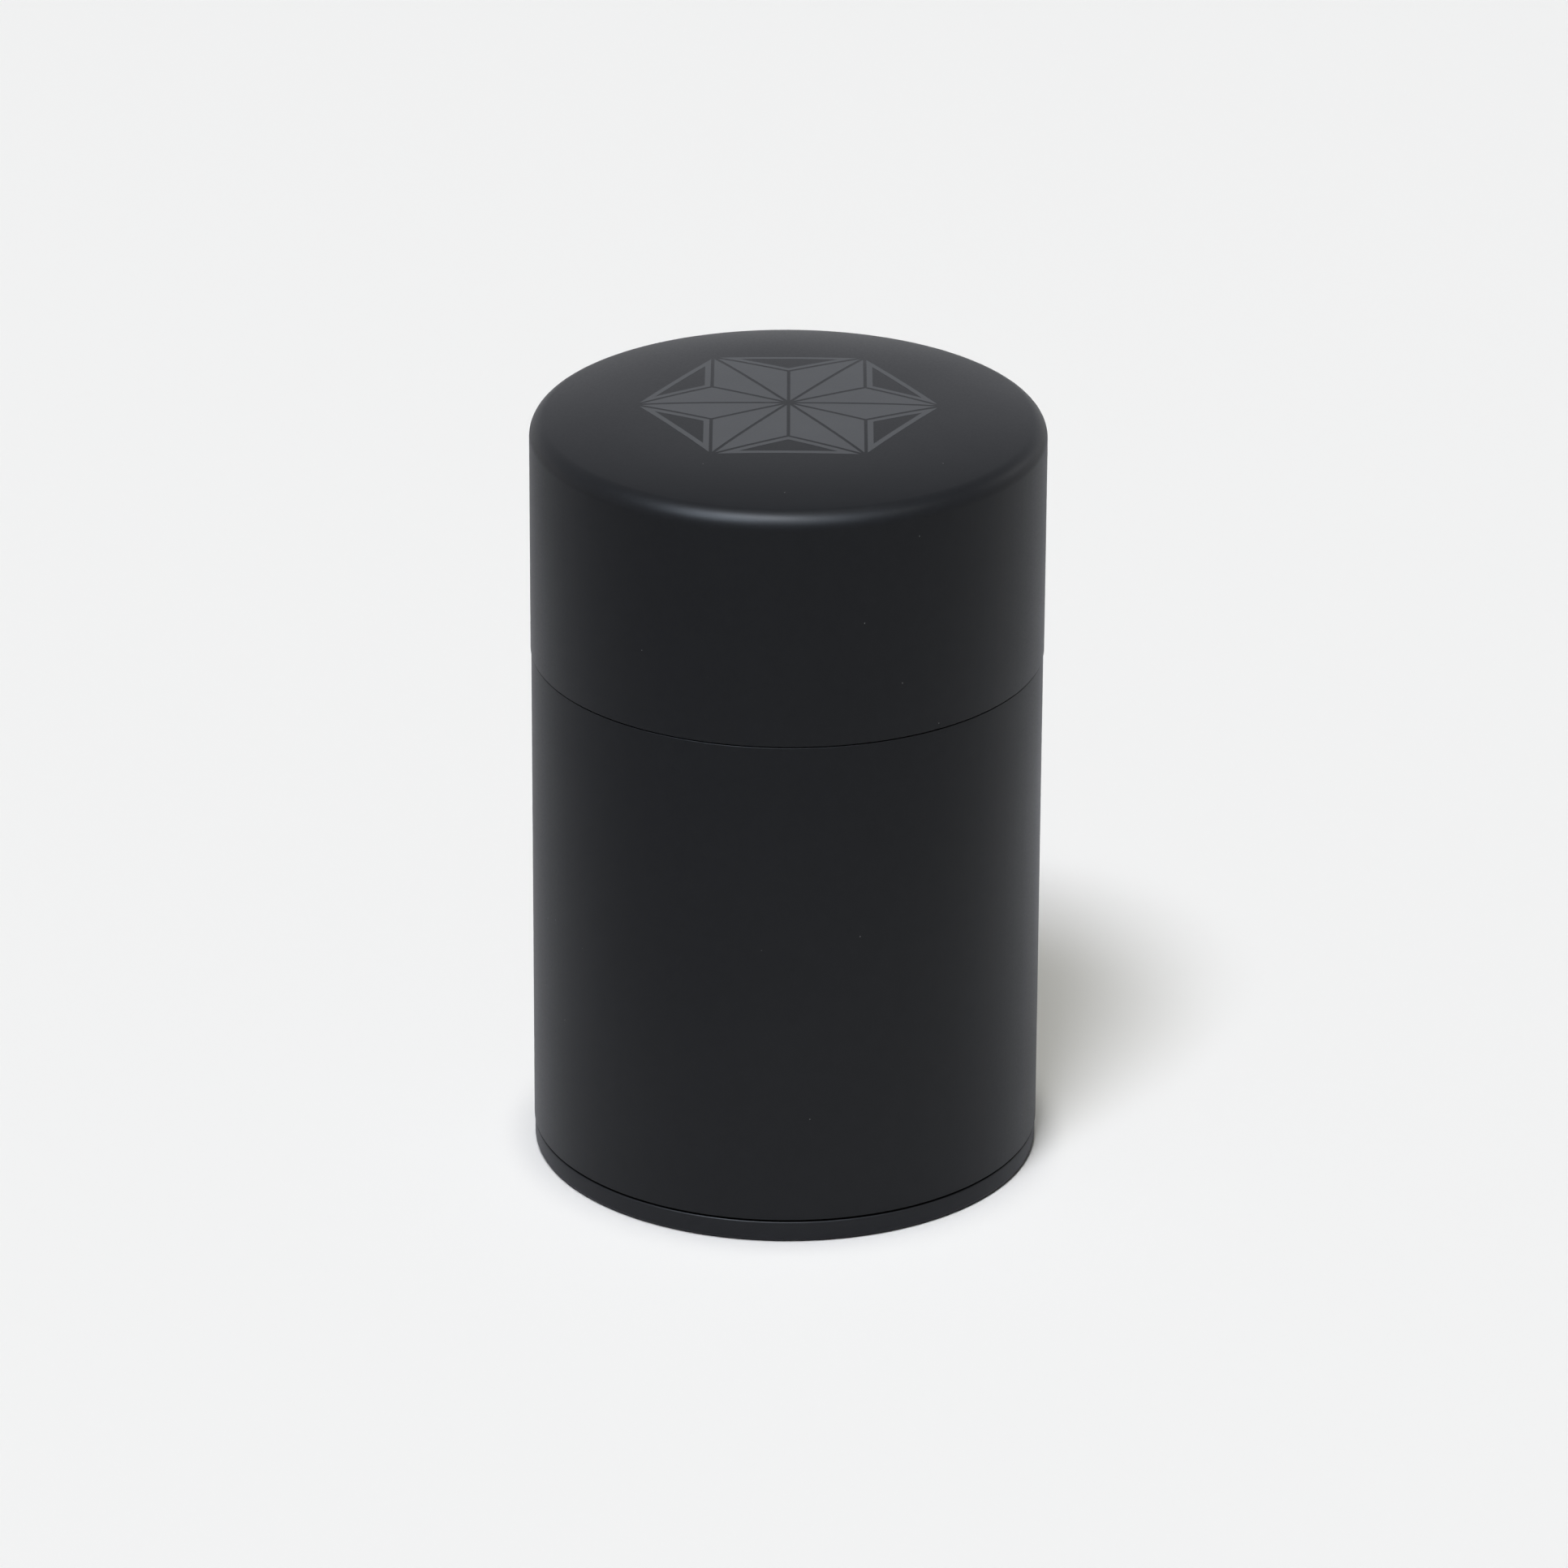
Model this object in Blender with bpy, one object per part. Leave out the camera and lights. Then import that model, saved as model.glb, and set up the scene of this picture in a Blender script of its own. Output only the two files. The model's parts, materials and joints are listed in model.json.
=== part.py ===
"""A round tea canister: a painted steel shell with a slide-off lid, round a tin-plated inner can.

Metres, +Z up. The origin is on the axis, on the surface that the canister stands on.
Every piece is turned about the axis from an outline of corners, each (radius, height, fillet),
drawn in the piece's own frame and seated at its level.
"""

import math

import bmesh
import bpy
from mathutils import Vector

# Painted shell
LID_RADIUS = 0.0380
LID_HEIGHT = 0.03846  # at the middle of its crown
LID_CROWN_DROP = 0.0028  # from the crown's middle down to the wall's line
LID_SHOULDER = 0.0029
LID_PROUD = 0.00011  # the lid's wall stands this far outside the body's
BODY_HEIGHT = 0.0760
SHELL_SHEET = 0.0004

# Base cap
BASE_BAND_HEIGHT = 0.00333
BASE_BAND_INSET = 0.00011
BASE_CORNER = 0.0007
BASE_TOP_EDGE = 0.0003
BASE_SKIRT_HEIGHT = 0.0040
BASE_BEND = 0.0002
FOOT_WIDTH = 0.0045  # flat ring under the canister, with its outer corner
FOOT_PANEL_RISE = 0.0013

# Inner can
CAN_SHEET = 0.0003
CAN_BEND = 0.0004
NECK_HEM = 0.0025  # the neck's edge is folded in, down to this depth
NECK_RIM_ROUND = 0.00025
CAN_BOTTOM_FLANGE = 0.0030
CAN_BOTTOM_BORDER = 0.0080  # flat ring round the bottom's raised panel
CAN_BOTTOM_PANEL_RISE = 0.0006

# Inner lid
PLUG_DEPTH = 0.0070
PLUG_BEND = 0.0008
FLANGE_BEND = 0.0002
INNER_PANEL_RADIUS = 0.0240
INNER_PANEL_RISE = 0.0006

# Knob and its rivet
KNOB_RISE = 0.0040  # the knob's top stands this far above the inner lid's flange
KNOB_HEADROOM = 0.00373  # under the middle of the lid's crown
KNOB_HEAD_RADIUS = 0.0080
KNOB_HEAD_THICKNESS = 0.0038
KNOB_HEAD_ROUND = 0.0014
KNOB_WAIST_RADIUS = 0.0042
KNOB_WAIST_ROUND = 0.0012
KNOB_FOOT_RADIUS = 0.0060
KNOB_FOOT_THICKNESS = 0.0014
KNOB_FOOT_ROUND = 0.0005
RIVET_SHANK_RADIUS = 0.0016
RIVET_REACH = 0.0060  # of the shank, up inside the knob
RIVET_HEAD_RADIUS = 0.0034
RIVET_HEAD_THICKNESS = 0.0009
RIVET_HEAD_ROUND = 0.0006

# Clearances
LID_SEAM = 0.0002  # between the lid's edge and the body's
BASE_SEAM = 0.0003  # between the body's edge and the base's band
FIT_CLEARANCE = 0.00015  # all round a piece that fits inside another
SEAT_GAP = 0.0003  # between a piece and what it stands on
RIVET_END_CLEARANCE = 0.0005

# The crown's shape, which falls gently in the middle and faster towards the shoulder
CROWN_EVEN_SHARE = 0.16  # of the drop that follows the square of the radius, the rest its fourth power
CROWN_RING_SHARES = (0.20, 0.40, 0.55, 0.67, 0.77, 0.86)  # shares of the lid's radius

# Facets
SHELL_SEGMENTS = 64
KNOB_SEGMENTS = 32
FEWEST_ARC_STEPS = 2
ARC_PITCH = 0.0008
WELD_DISTANCE = 0.000001
SHARP_ANGLE = math.radians(35)

# Finishes: linear colour, roughness, metallic
BLACK_PAINT = ((0.0145, 0.0155, 0.0172), 0.46, 0.0)
TIN_PLATE = ((0.60, 0.60, 0.58), 0.28, 1.0)
TURNED_STEEL = ((0.56, 0.56, 0.55), 0.22, 1.0)

# Radii that follow
BODY_RADIUS = LID_RADIUS - LID_PROUD
BODY_BORE = BODY_RADIUS - SHELL_SHEET
BAND_RADIUS = BODY_RADIUS - BASE_BAND_INSET
SKIRT_RADIUS = BODY_BORE - FIT_CLEARANCE
CAN_RADIUS = BODY_BORE - FIT_CLEARANCE
CAN_BORE = CAN_RADIUS - CAN_SHEET
NECK_BORE = CAN_BORE - CAN_SHEET
PLUG_RADIUS = NECK_BORE - FIT_CLEARANCE
RIVET_HOLE_RADIUS = RIVET_SHANK_RADIUS + FIT_CLEARANCE

# Levels that follow, above the table
BODY_FOOT = BASE_BAND_HEIGHT + BASE_SEAM
BODY_TOP = BODY_FOOT + BODY_HEIGHT
LID_RIM = BODY_TOP + LID_SEAM
LID_CEILING = LID_RIM + LID_HEIGHT - SHELL_SHEET
INNER_LID_SEAT = LID_CEILING - KNOB_HEADROOM - KNOB_RISE - CAN_SHEET
NECK_TOP = INNER_LID_SEAT - SEAT_GAP
CAN_FOOT = BASE_BAND_HEIGHT + BASE_SKIRT_HEIGHT + SEAT_GAP

# Levels that follow, above the inner lid's seat
PLATE_TOP = CAN_SHEET - PLUG_DEPTH
INNER_PANEL_TOP = PLATE_TOP + INNER_PANEL_RISE
KNOB_SEAT = INNER_PANEL_TOP + SEAT_GAP
KNOB_HEIGHT = CAN_SHEET + KNOB_RISE - KNOB_SEAT
RIVET_SEAT = INNER_PANEL_TOP - CAN_SHEET - SEAT_GAP


def clear_scene():
    for thing in list(bpy.data.objects):
        bpy.data.objects.remove(thing)


def arc(corner, before, after, fillet):
    """The points of a rounded corner, whose arc takes up at most half of either edge beside it."""
    back = before - corner
    ahead = after - corner
    half_angle = back.angle(ahead) / 2
    reach = min(fillet / math.tan(half_angle), back.length / 2, ahead.length / 2)
    radius = reach * math.tan(half_angle)
    middle = back.normalized() + ahead.normalized()
    centre = corner + middle.normalized() * (radius / math.sin(half_angle))
    start = corner + back.normalized() * reach - centre
    end = corner + ahead.normalized() * reach - centre
    turn = math.pi - 2 * half_angle
    steps = max(FEWEST_ARC_STEPS, round(radius * turn / ARC_PITCH))
    points = []
    for step in range(steps + 1):
        share = step / steps
        from_start = start * math.sin((1 - share) * turn)
        from_end = end * math.sin(share * turn)
        points.append(centre + (from_start + from_end) / math.sin(turn))
    return points


def rounded(corners):
    """The outline through the corners, each rounded by its fillet."""
    outline = []
    for index, (radius, height, fillet) in enumerate(corners):
        corner = Vector((radius, height))
        if fillet > 0:
            before = Vector(corners[index - 1][:2])
            after = Vector(corners[(index + 1) % len(corners)][:2])
            outline.extend(arc(corner, before, after, fillet))
        else:
            outline.append(corner)
    return outline


def turned_mesh(name, corners, segments):
    """A solid of revolution. An outline that starts off the axis closes on itself, as a ring."""
    shape = bmesh.new()
    points = [shape.verts.new((radius, 0, height)) for radius, height in rounded(corners)]
    edges = [shape.edges.new(ends) for ends in zip(points, points[1:])]
    if corners[0][0] > 0:
        edges.append(shape.edges.new((points[-1], points[0])))
    bmesh.ops.spin(
        shape,
        geom=points + edges,
        cent=(0, 0, 0),
        axis=(0, 0, 1),
        angle=math.tau,
        steps=segments,
        use_merge=True,
    )
    bmesh.ops.remove_doubles(shape, verts=shape.verts, dist=WELD_DISTANCE)
    bmesh.ops.recalc_face_normals(shape, faces=shape.faces)
    mesh = bpy.data.meshes.new(name)
    shape.to_mesh(mesh)
    shape.free()
    mesh.shade_smooth()
    mesh.set_sharp_from_angle(angle=SHARP_ANGLE)
    return mesh


def finish_material(name, finish):
    colour, roughness, metallic = finish
    material = bpy.data.materials.new(name)
    material.use_nodes = True
    shader = material.node_tree.nodes["Principled BSDF"]
    shader.inputs["Base Color"].default_value = (*colour, 1)
    shader.inputs["Roughness"].default_value = roughness
    shader.inputs["Metallic"].default_value = metallic
    return material


def add_piece(name, corners, segments, finish, parent, level):
    """A turned piece, with its origin on the axis at its level above its parent's origin."""
    mesh = turned_mesh(name, corners, segments)
    mesh.materials.append(finish_material(name + "_finish", finish))
    piece = bpy.data.objects.new(name, mesh)
    bpy.context.collection.objects.link(piece)
    piece.parent = parent
    piece.location.z = level
    return piece


def crown_level(radius):
    """The level of the lid's crown at a radius, above the lid's edge."""
    reach = radius / LID_RADIUS
    fall = CROWN_EVEN_SHARE * reach**2 + (1 - CROWN_EVEN_SHARE) * reach**4
    return LID_HEIGHT - LID_CROWN_DROP * fall


def outer_lid_corners():
    """A drawn cap: crowned top, round shoulder, straight wall."""
    bore = LID_RADIUS - SHELL_SHEET
    crown = [(share * LID_RADIUS, crown_level(share * LID_RADIUS)) for share in CROWN_RING_SHARES]
    ceiling = [(radius, level - SHELL_SHEET, 0) for radius, level in crown]
    top = [(radius, level, 0) for radius, level in reversed(crown)]
    return [
        (0, LID_HEIGHT - SHELL_SHEET, 0),
        *ceiling,
        (bore, crown_level(bore) - SHELL_SHEET, LID_SHOULDER - SHELL_SHEET),
        (bore, 0, 0),
        (LID_RADIUS, 0, 0),
        (LID_RADIUS, crown_level(LID_RADIUS), LID_SHOULDER),
        *top,
        (0, LID_HEIGHT, 0),
    ]


def outer_body_corners():
    """A straight tube."""
    return [
        (BODY_BORE, 0, 0),
        (BODY_RADIUS, 0, 0),
        (BODY_RADIUS, BODY_HEIGHT, 0),
        (BODY_BORE, BODY_HEIGHT, 0),
    ]


def base_cap_corners():
    """A drawn pan: raised panel, foot ring, band, ledge under the body, skirt inside the body."""
    panel_radius = BAND_RADIUS - FOOT_WIDTH
    outer_bend = BASE_BEND + SHELL_SHEET
    skirt_top = BASE_BAND_HEIGHT + BASE_SKIRT_HEIGHT
    ledge_underside = BASE_BAND_HEIGHT - SHELL_SHEET
    return [
        (0, FOOT_PANEL_RISE, 0),
        (panel_radius, FOOT_PANEL_RISE, BASE_BEND),
        (panel_radius, 0, outer_bend),
        (BAND_RADIUS, 0, BASE_CORNER),
        (BAND_RADIUS, BASE_BAND_HEIGHT, BASE_TOP_EDGE),
        (SKIRT_RADIUS, BASE_BAND_HEIGHT, 0),
        (SKIRT_RADIUS, skirt_top, 0),
        (SKIRT_RADIUS - SHELL_SHEET, skirt_top, 0),
        (SKIRT_RADIUS - SHELL_SHEET, ledge_underside, 0),
        (BAND_RADIUS - SHELL_SHEET, ledge_underside, 0),
        (BAND_RADIUS - SHELL_SHEET, SHELL_SHEET, BASE_CORNER - SHELL_SHEET),
        (panel_radius + SHELL_SHEET, SHELL_SHEET, BASE_BEND),
        (panel_radius + SHELL_SHEET, FOOT_PANEL_RISE + SHELL_SHEET, outer_bend),
        (0, FOOT_PANEL_RISE + SHELL_SHEET, 0),
    ]


def inner_can_corners():
    """A tube whose upper edge is folded inwards, as the neck's rim."""
    height = NECK_TOP - CAN_FOOT
    hem_foot = height - NECK_HEM
    return [
        (CAN_BORE, 0, 0),
        (CAN_RADIUS, 0, 0),
        (CAN_RADIUS, height, NECK_RIM_ROUND),
        (NECK_BORE, height, NECK_RIM_ROUND),
        (NECK_BORE, hem_foot, 0),
        (CAN_BORE, hem_foot, 0),
    ]


def inner_can_bottom_corners():
    """A pressed disc: raised panel, flat border, flange turned down inside the can."""
    radius = CAN_BORE - FIT_CLEARANCE
    border = CAN_BOTTOM_FLANGE - CAN_SHEET
    panel = border + CAN_BOTTOM_PANEL_RISE
    panel_radius = radius - CAN_BOTTOM_BORDER
    outer_bend = CAN_BEND + CAN_SHEET
    return [
        (0, panel, 0),
        (panel_radius - CAN_SHEET, panel, 0),
        (panel_radius, border, 0),
        (radius - CAN_SHEET, border, CAN_BEND),
        (radius - CAN_SHEET, 0, 0),
        (radius, 0, 0),
        (radius, border + CAN_SHEET, outer_bend),
        (panel_radius, border + CAN_SHEET, 0),
        (panel_radius - CAN_SHEET, panel + CAN_SHEET, 0),
        (0, panel + CAN_SHEET, 0),
    ]


def inner_lid_corners():
    """A pressed dish: flange over the neck's rim, plug inside the neck, plate with a raised panel."""
    bore = PLUG_RADIUS - CAN_SHEET
    underside = PLATE_TOP - CAN_SHEET
    panel_foot_radius = INNER_PANEL_RADIUS + CAN_SHEET
    return [
        (RIVET_HOLE_RADIUS, INNER_PANEL_TOP, 0),
        (RIVET_HOLE_RADIUS, INNER_PANEL_TOP - CAN_SHEET, 0),
        (INNER_PANEL_RADIUS, INNER_PANEL_TOP - CAN_SHEET, 0),
        (panel_foot_radius, underside, 0),
        (PLUG_RADIUS, underside, PLUG_BEND + CAN_SHEET),
        (PLUG_RADIUS, 0, FLANGE_BEND),
        (CAN_RADIUS, 0, 0),
        (CAN_RADIUS, CAN_SHEET, 0),
        (bore, CAN_SHEET, FLANGE_BEND + CAN_SHEET),
        (bore, PLATE_TOP, PLUG_BEND),
        (panel_foot_radius, PLATE_TOP, 0),
        (INNER_PANEL_RADIUS, INNER_PANEL_TOP, 0),
    ]


def knob_corners():
    """A turned knob: foot, waist and round-edged head, with a blind hole for the rivet."""
    hole_depth = RIVET_REACH + RIVET_END_CLEARANCE
    head_foot = KNOB_HEIGHT - KNOB_HEAD_THICKNESS
    return [
        (0, hole_depth, 0),
        (RIVET_HOLE_RADIUS, hole_depth, 0),
        (RIVET_HOLE_RADIUS, 0, 0),
        (KNOB_FOOT_RADIUS, 0, 0),
        (KNOB_FOOT_RADIUS, KNOB_FOOT_THICKNESS, KNOB_FOOT_ROUND),
        (KNOB_WAIST_RADIUS, KNOB_FOOT_THICKNESS, KNOB_WAIST_ROUND),
        (KNOB_WAIST_RADIUS, head_foot, KNOB_WAIST_ROUND),
        (KNOB_HEAD_RADIUS, head_foot, KNOB_HEAD_ROUND),
        (KNOB_HEAD_RADIUS, KNOB_HEIGHT, KNOB_HEAD_ROUND),
        (0, KNOB_HEIGHT, 0),
    ]


def rivet_corners():
    """A rivet with its head under the inner lid and its shank up inside the knob."""
    shank_top = CAN_SHEET + SEAT_GAP + SEAT_GAP + RIVET_REACH
    return [
        (0, -RIVET_HEAD_THICKNESS, 0),
        (RIVET_HEAD_RADIUS, -RIVET_HEAD_THICKNESS, RIVET_HEAD_ROUND),
        (RIVET_HEAD_RADIUS, 0, 0),
        (RIVET_SHANK_RADIUS, 0, 0),
        (RIVET_SHANK_RADIUS, shank_top, 0),
        (0, shank_top, 0),
    ]


def add_empty(name):
    empty = bpy.data.objects.new(name, None)
    bpy.context.collection.objects.link(empty)
    return empty


def add_shell(canister):
    add_piece("base_cap", base_cap_corners(), SHELL_SEGMENTS, BLACK_PAINT, canister, 0)
    add_piece("outer_body", outer_body_corners(), SHELL_SEGMENTS, BLACK_PAINT, canister, BODY_FOOT)
    add_piece("outer_lid", outer_lid_corners(), SHELL_SEGMENTS, BLACK_PAINT, canister, LID_RIM)


def add_inner_can(canister):
    can = add_piece("inner_can", inner_can_corners(), SHELL_SEGMENTS, TIN_PLATE, canister, CAN_FOOT)
    add_piece("inner_can_bottom", inner_can_bottom_corners(), SHELL_SEGMENTS, TIN_PLATE, can, 0)


def add_inner_lid(canister):
    lid = add_piece(
        "inner_lid", inner_lid_corners(), SHELL_SEGMENTS, TIN_PLATE, canister, INNER_LID_SEAT
    )
    add_piece("inner_lid_knob", knob_corners(), KNOB_SEGMENTS, TURNED_STEEL, lid, KNOB_SEAT)
    add_piece("knob_rivet", rivet_corners(), KNOB_SEGMENTS, TURNED_STEEL, lid, RIVET_SEAT)


def main():
    clear_scene()
    canister = add_empty("canister")
    add_shell(canister)
    add_inner_can(canister)
    add_inner_lid(canister)


main()
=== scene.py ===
"""The looks of the tea canister: matte black painted steel outside, tin plate inside."""

import json
import math
from collections import namedtuple

import bmesh
import bpy
from mathutils import Matrix, Vector

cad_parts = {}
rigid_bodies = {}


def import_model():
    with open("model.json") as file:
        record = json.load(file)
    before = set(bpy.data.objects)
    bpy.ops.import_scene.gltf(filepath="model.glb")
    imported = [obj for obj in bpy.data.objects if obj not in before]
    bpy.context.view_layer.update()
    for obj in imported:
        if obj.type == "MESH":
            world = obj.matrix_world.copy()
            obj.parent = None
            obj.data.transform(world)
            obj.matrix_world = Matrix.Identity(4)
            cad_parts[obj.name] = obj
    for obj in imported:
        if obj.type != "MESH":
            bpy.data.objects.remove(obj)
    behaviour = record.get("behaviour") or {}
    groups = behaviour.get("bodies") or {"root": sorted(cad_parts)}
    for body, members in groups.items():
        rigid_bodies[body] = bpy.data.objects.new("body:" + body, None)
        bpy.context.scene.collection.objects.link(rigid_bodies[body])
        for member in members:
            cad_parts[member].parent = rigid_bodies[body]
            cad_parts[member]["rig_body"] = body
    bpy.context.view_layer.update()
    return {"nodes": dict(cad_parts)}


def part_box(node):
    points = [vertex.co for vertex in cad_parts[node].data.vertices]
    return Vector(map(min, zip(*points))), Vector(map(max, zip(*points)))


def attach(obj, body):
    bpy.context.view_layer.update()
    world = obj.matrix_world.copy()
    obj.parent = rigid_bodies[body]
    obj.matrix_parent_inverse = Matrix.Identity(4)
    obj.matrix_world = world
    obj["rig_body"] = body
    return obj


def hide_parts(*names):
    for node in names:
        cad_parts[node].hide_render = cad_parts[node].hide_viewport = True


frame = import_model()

# Sheet and edge sizes that the frame doesn't give, in metres
SHELL_SHEET = 0.0004
CAN_SHEET = 0.0003
SHELL_EDGE = 0.00010
CAN_EDGE = 0.00006
LID_SHOULDER = 0.0029
LID_CROWN_DROP = 0.0028
CROWN_EVEN_SHARE = 0.16  # of the crown's fall this share grows evenly, and the rest gathers at the rim
BASE_BAND_HEIGHT = 0.00333
BASE_CORNER = 0.0007
BASE_TOP_EDGE = 0.0003
BASE_BEND = 0.0002
BASE_PANEL_RISE = 0.0013
FOOT_WIDTH = 0.0045
FIT_CLEARANCE = 0.00015
NECK_HEM = 0.0025
NECK_RIM_ROUND = 0.00025
NECK_SHADE_RISE = 0.0004  # how far the painted seam shade reaches up the neck, above the body's edge
CAN_BEND = 0.0004
CAN_BOTTOM_BORDER = 0.0080
CAN_BOTTOM_PANEL_RISE = 0.0006
PLUG_BEND = 0.0008
FLANGE_BEND = 0.0002
INNER_PANEL_RADIUS = 0.0240
INNER_PANEL_RISE = 0.0006
KNOB_HEAD_THICKNESS = 0.0038
KNOB_HEAD_ROUND = 0.0014
KNOB_WAIST_RADIUS = 0.0042
KNOB_WAIST_ROUND = 0.0012
KNOB_FOOT_RADIUS = 0.0060
KNOB_FOOT_THICKNESS = 0.0014
KNOB_FOOT_ROUND = 0.0005
RIVET_SHANK_RADIUS = 0.0016
RIVET_REACH = 0.0060
RIVET_END_CLEARANCE = 0.0005
RIVET_HEAD_THICKNESS = 0.0009
RIVET_HEAD_ROUND = 0.0006
SUPPORT = 0.0004  # a ring this far inside a rounded edge keeps the flat beside it flat

# The print on the lid
PRINT_RADIUS = 0.0225
PRINT_TURN = math.radians(30)
PRINT_GAP = 0.00050
PRINT_LINE = 0.00085
PRINT_CUTS = 12
PRINT_CORNER_SHARE = 0.65  # the corner triangles lie further out than this share of its radius
INK_RISE = 0.000012
INK_DEPTH = 0.000050

# How finely the rings are drawn
SHELL_POINTS = 256
KNOB_POINTS = 128
ROUND_SEGMENTS = 10
SHOULDER_STEPS = 14
CROWN_STEPS = 24
PLACE_TOLERANCE = 0.000004
SMOOTH_ANGLE = math.radians(35)

# Which faces get the second finish
FACING = 0.3  # a face turned further than this to a side counts as facing it
JOINT_FACING = 0.76  # and one turned up further than this lies in the base's joint

# One ring of an outline: its radius, its height and how much its corner is rounded
Ring = namedtuple("Ring", "radius height round", defaults=[0])


# Drawing turned pieces

def start_disc(name, ring, points, filled):
    """A circle at the first ring, in edit mode with its edge selected."""
    bpy.ops.object.select_all(action="DESELECT")
    bpy.ops.mesh.primitive_circle_add(
        vertices=points,
        radius=ring.radius,
        fill_type="NGON" if filled else "NOTHING",
        location=(0, 0, ring.height),
    )
    piece = bpy.context.object
    piece.name = name
    bpy.ops.object.transform_apply(location=True, rotation=False, scale=False)
    bpy.ops.object.mode_set(mode="EDIT")
    bpy.ops.mesh.select_mode(type="EDGE")
    bpy.ops.mesh.select_all(action="SELECT")
    if filled:
        bpy.ops.mesh.region_to_loop()
    return piece


def draw_to(before, after):
    """Extrudes the selected edge from one ring to the next."""
    climb = after.height - before.height
    spread = after.radius / before.radius
    bpy.ops.mesh.extrude_edges_move(TRANSFORM_OT_translate={"value": (0, 0, climb)})
    bpy.ops.transform.resize(value=(spread, spread, 1), center_override=(0, 0, 0))


def select_rings(piece, rings):
    """Selects the edges that lie on the given rings, and nothing else."""
    bpy.ops.mesh.select_all(action="DESELECT")
    shape = bmesh.from_edit_mesh(piece.data)
    for edge in shape.edges:
        ends = [(math.hypot(*v.co.xy), v.co.z) for v in edge.verts]
        for ring in rings:
            if all(math.dist(end, ring[:2]) < PLACE_TOLERANCE for end in ends):
                edge.select_set(True)
    bmesh.update_edit_mesh(piece.data)


def turn_piece(name, rings, points=SHELL_POINTS):
    """Draws a turned piece ring by ring. Where the first round is None it starts and ends in a disc."""
    filled = rings[0].round is None
    rings = [Ring(r.radius, r.height, r.round or 0) for r in rings]
    piece = start_disc(name, rings[0], points, filled)
    for before, after in zip(rings, rings[1:]):
        draw_to(before, after)
    if filled:
        bpy.ops.mesh.edge_face_add()
    else:
        select_rings(piece, [rings[0], rings[-1]])
        bpy.ops.mesh.bridge_edge_loops()
    for ring in rings:
        if ring.round > 0:
            select_rings(piece, [ring])
            bpy.ops.mesh.bevel(offset=ring.round, segments=ROUND_SEGMENTS, affect="EDGES")
    bpy.ops.mesh.select_all(action="SELECT")
    bpy.ops.mesh.normals_make_consistent(inside=False)
    bpy.ops.object.mode_set(mode="OBJECT")
    bpy.ops.object.shade_smooth_by_angle(angle=SMOOTH_ANGLE)
    return piece


def fit_piece(piece, node, materials):
    """Puts a finished piece in its CAD node's place."""
    for material in materials:
        piece.data.materials.append(material)
    body = frame["nodes"][node]["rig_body"]
    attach(piece, body)
    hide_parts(node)


# The pieces' outlines

def crown_fall(radius):
    """How far the lid's crown has fallen at a radius, and its slope there."""
    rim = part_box("outer_lid")[1].x
    reach = radius / rim
    even = CROWN_EVEN_SHARE
    gathered = 1 - CROWN_EVEN_SHARE
    fall = LID_CROWN_DROP * (even * reach**2 + gathered * reach**4)
    slope = LID_CROWN_DROP * (2 * even * reach + 4 * gathered * reach**3) / rim
    return fall, slope


def shoulder_rings(wall, top, shoulder):
    """Rings from the top of the wall round the shoulder, then over the crown to its middle."""
    lean = 0
    for _ in range(SHOULDER_STEPS):
        join = wall - shoulder + shoulder * math.sin(lean)
        lean = math.atan(crown_fall(join)[1])
    centre = top - crown_fall(join)[0] - shoulder * math.cos(lean)
    rings = []
    for step in range(SHOULDER_STEPS + 1):
        tilt = math.pi / 2 + (lean - math.pi / 2) * step / SHOULDER_STEPS
        reach = wall - shoulder + shoulder * math.sin(tilt)
        rings.append(Ring(reach, centre + shoulder * math.cos(tilt)))
    for step in range(1, CROWN_STEPS):
        radius = join * (1 - step / CROWN_STEPS)
        rings.append(Ring(radius, top - crown_fall(radius)[0]))
    return rings


def lid_cap_rings():
    low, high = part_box("outer_lid")
    bore = high.x - SHELL_SHEET
    top = high.z - INK_RISE
    outside = shoulder_rings(high.x, top, LID_SHOULDER)
    inside = shoulder_rings(bore, top - SHELL_SHEET, LID_SHOULDER - SHELL_SHEET)
    return [
        inside[-1]._replace(round=None),
        *reversed(inside[:-1]),
        Ring(bore, low.z, SHELL_EDGE),
        Ring(high.x, low.z, SHELL_EDGE),
        *outside,
    ]


def body_tube_rings():
    low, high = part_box("outer_body")
    bore = high.x - SHELL_SHEET
    return [
        Ring(bore, low.z, SHELL_EDGE),
        Ring(high.x, low.z, SHELL_EDGE),
        Ring(high.x, high.z, SHELL_EDGE),
        Ring(bore, high.z, SHELL_EDGE),
    ]


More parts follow.
